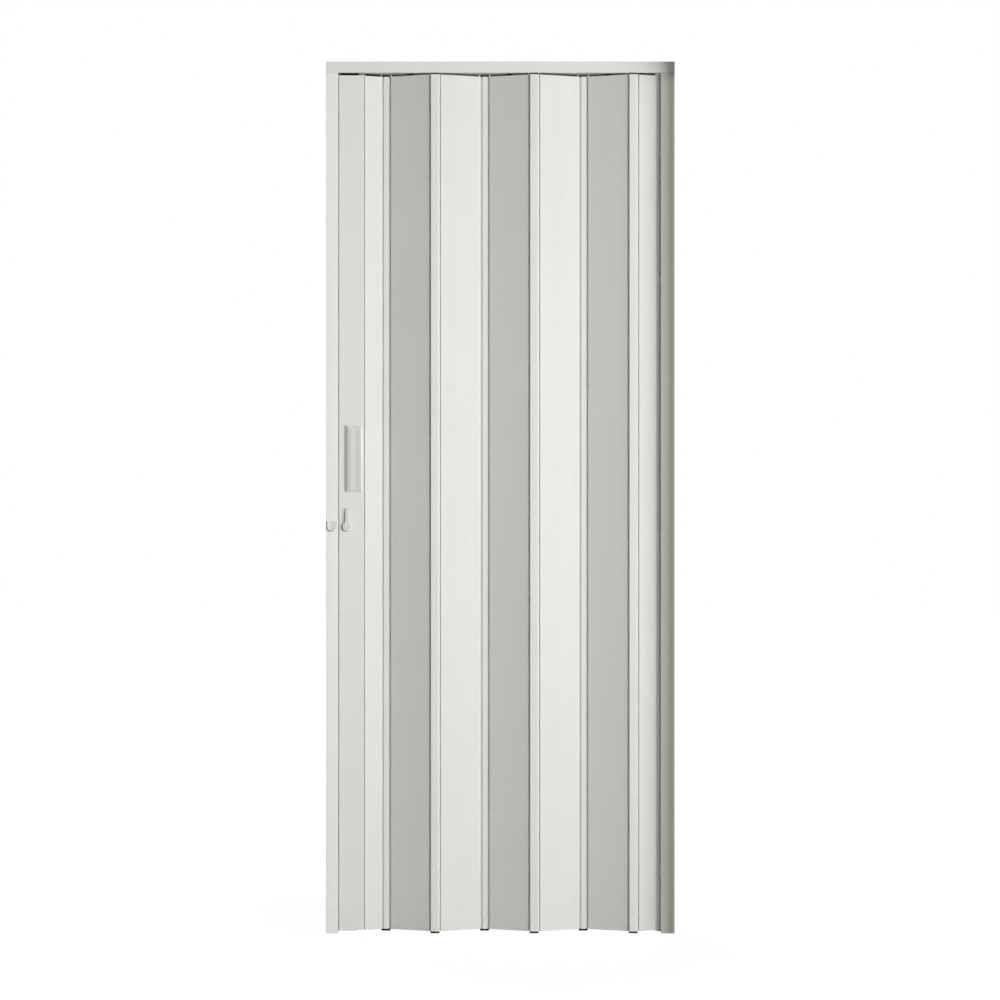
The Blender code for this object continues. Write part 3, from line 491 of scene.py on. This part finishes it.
def makeFloor():
    bm = bmesh.new()
    bmesh.ops.create_grid(bm, x_segments=1, y_segments=1, size=ground["half"])
    floor = placeMesh("paleFloor", bm)
    material, tree, shader = newMaterial("paleFloor")
    shader.inputs["Base Color"].default_value = ground["colour"]
    shader.inputs["Roughness"].default_value = ground["roughness"]
    glow = addNode(tree, "ShaderNodeEmission", {"Color": pureWhite, "Strength": ground["glow"]})
    matt = addNode(tree, "ShaderNodeBsdfDiffuse", {"Color": pureWhite})
    away = addNode(tree, "ShaderNodeVectorMath", {0: objectSpot(tree)}, operation="LENGTH").outputs["Value"]
    keep = spread(tree, away, *ground["shadowReach"], ground["shadowShare"], 0.0)
    shown = addNode(tree, "ShaderNodeMixShader", {0: keep, 1: glow.outputs["Emission"], 2: matt.outputs["BSDF"]})
    sides = {0: seenDirectly(tree), 1: shader.outputs["BSDF"], 2: shown.outputs["Shader"]}
    both = addNode(tree, "ShaderNodeMixShader", sides)
    tree.links.new(both.outputs["Shader"], tree.nodes["Material Output"].inputs["Surface"])
    floor.data.materials.append(material)


makeFloor()

ambient = {"colour": (1.0, 0.972, 0.922, 1.0), "strength": 0.128}


def makeWorld():
    world = bpy.data.worlds.new("studioWorld")
    world.use_nodes = True
    tree = world.node_tree
    soft = tree.nodes["Background"]
    soft.inputs["Color"].default_value = ambient["colour"]
    soft.inputs["Strength"].default_value = ambient["strength"]
    white = addNode(tree, "ShaderNodeBackground", {"Color": pureWhite, "Strength": 1.0})
    sides = {0: seenDirectly(tree), 1: soft.outputs["Background"], 2: white.outputs["Background"]}
    both = addNode(tree, "ShaderNodeMixShader", sides)
    tree.links.new(both.outputs["Shader"], tree.nodes["World Output"].inputs["Surface"])
    bpy.context.scene.world = world


makeWorld()

# A narrow scrim beside the door, out of the camera's sight, keeps the lamps off its right end: deeper at the track.
# Its weave opens towards the jamb's face, but not beside the track
sideCard = {
    "x": 0.4118, "back": -0.0172, "front": -0.049, "frontAtTrack": -0.076, "top": 2.10, "rows": 42,
    "trackFrom": 2.015, "trackFade": 0.01, "letsThrough": 0.15, "thinnerFrom": -0.034, "thinnerAdds": 0.56,
    "colour": (0.03, 0.03, 0.03, 1.0), "roughness": 0.9,
}


def makeSideCard():
    bm = bmesh.new()
    bmesh.ops.create_grid(bm, x_segments=1, y_segments=sideCard["rows"], size=0.5)
    for vert in bm.verts:
        height = (vert.co.y + 0.5) * sideCard["top"]
        front = sideCard["frontAtTrack"] if height > sideCard["trackFrom"] else sideCard["front"]
        vert.co = Vector((sideCard["x"], front if vert.co.x < 0 else sideCard["back"], height))
    card = placeMesh("sideCard", bm)
    material, tree, shader = newMaterial("sideCard")
    shader.inputs["Base Color"].default_value = sideCard["colour"]
    shader.inputs["Roughness"].default_value = sideCard["roughness"]
    place = addNode(tree, "ShaderNodeSeparateXYZ", {"Vector": objectSpot(tree)})
    thinner = spread(tree, place.outputs["Y"], sideCard["thinnerFrom"], sideCard["back"],
                     0.0, sideCard["thinnerAdds"])
    below = spread(tree, place.outputs["Z"], sideCard["trackFrom"] - sideCard["trackFade"],
                   sideCard["trackFrom"] + sideCard["trackFade"], 1.0, 0.0)
    opened = compute(tree, "ADD", compute(tree, "MULTIPLY", thinner, below), sideCard["letsThrough"])
    tree.links.new(compute(tree, "SUBTRACT", 1.0, opened), shader.inputs["Alpha"])
    card.data.materials.append(material)
    card.visible_camera = False


makeSideCard()

# Three softboxes side by side on the right and one behind, turned to the door's middle: azimuth and power
softboxes = {
    "boxes": {
        "nearBox": (27.0, 28.6), "middleBox": (46.0, 28.6), "farBox": (65.0, 28.6), "backBox": (212.0, 60.0),
    },
    "distance": 9.0, "height": 2.2, "aim": (0.0, 0.0, 1.22), "size": (3.3, 2.5), "spread": 50.0,
    "colour": (1.0, 1.0, 0.992),
}


def addSoftbox(name, azimuth, power):
    light = bpy.data.lights.new(name, "AREA")
    light.shape = "RECTANGLE"
    light.size, light.size_y = softboxes["size"]
    light.energy = power
    light.color = softboxes["colour"]
    light.spread = math.radians(softboxes["spread"])
    holder = bpy.data.objects.new(name, light)
    turn, away = math.radians(azimuth), softboxes["distance"]
    holder.location = (away * math.sin(turn), -away * math.cos(turn), softboxes["height"])
    facing = holder.location - Vector(softboxes["aim"])
    holder.rotation_euler = facing.to_track_quat("Z", "Y").to_euler()
    bpy.context.scene.collection.objects.link(holder)


for name, (azimuth, power) in softboxes["boxes"].items():
    addSoftbox(name, azimuth, power)

bpy.context.scene.view_settings.view_transform = "Standard"
print("camera, floor and lamps placed")
